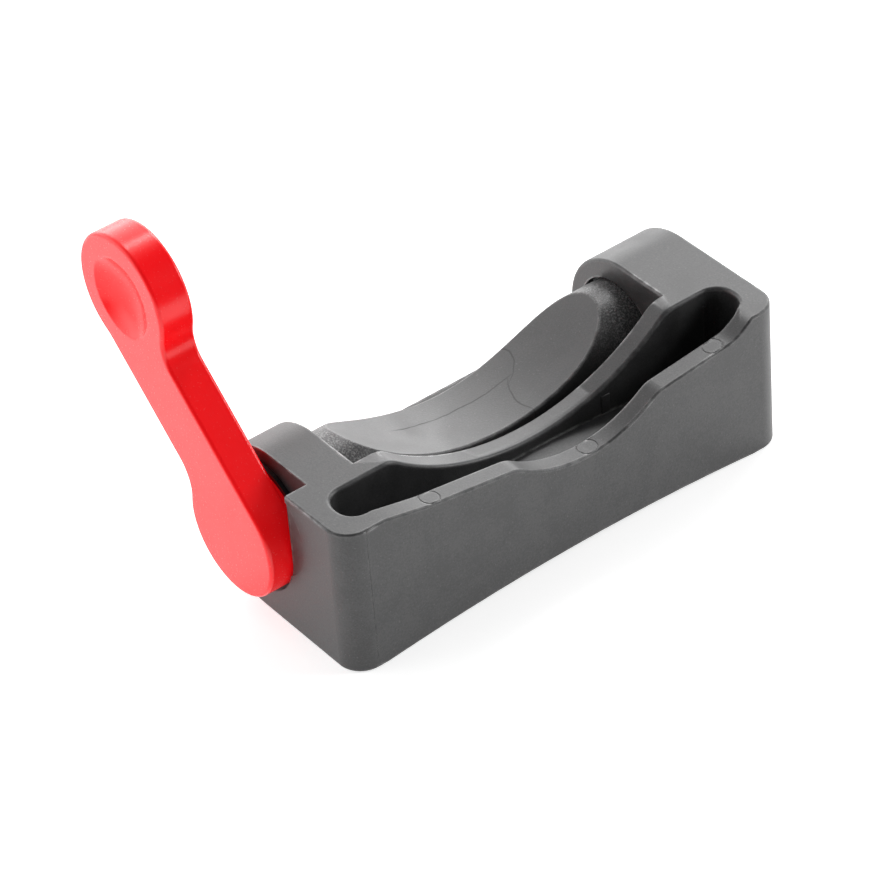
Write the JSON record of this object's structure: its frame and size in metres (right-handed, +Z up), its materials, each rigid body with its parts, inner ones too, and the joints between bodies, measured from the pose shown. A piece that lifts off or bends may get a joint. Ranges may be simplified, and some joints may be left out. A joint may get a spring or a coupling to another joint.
{
  "type": "lever-operated saddle cam clamp",
  "caption": "Moulded clamp block with a round notch, a saddle-shaped cam bar between two lugs and a side lever with a finger dimple.",
  "frame": {"origin": "middle of the line between the two base screws, on the plane that the feet rest on", "axes": "+X along the cam axis from the lever end to the plain end, +Y to the back, +Z up"},
  "size_m": [0.1145, 0.0761, 0.0742],
  "materials": {
    "housing_grey": "dark grey glass-filled nylon, satin",
    "cam_grey": "dark grey glass-filled nylon, satin",
    "lever_red": "gloss red",
    "bearing_plastic": "black acetal, smooth",
    "brass": "turned",
    "stainless": "turned"
  },
  "bodies": {
    "block": {"housing": "housing_grey", "base_inserts": "brass", "bush_left": "bearing_plastic", "bush_right": "bearing_plastic", "thrust_washer": "bearing_plastic"},
    "cam_and_lever": {"cam": "cam_grey", "cam_insert": "brass", "grub_insert": "brass", "grub_screw": "stainless", "drive_shank": "stainless", "lever": "lever_red", "cam_washer": "stainless", "disc_spring": "stainless", "cam_screw": "stainless"}
  },
  "joints": [
    {"name": "cam_turn", "type": "hinge", "parent": "block", "child": "cam_and_lever", "pos_m": [0, 0.0157, 0.0184], "axis": [1, 0, 0], "range_deg": [-54, 46]}
  ]
}
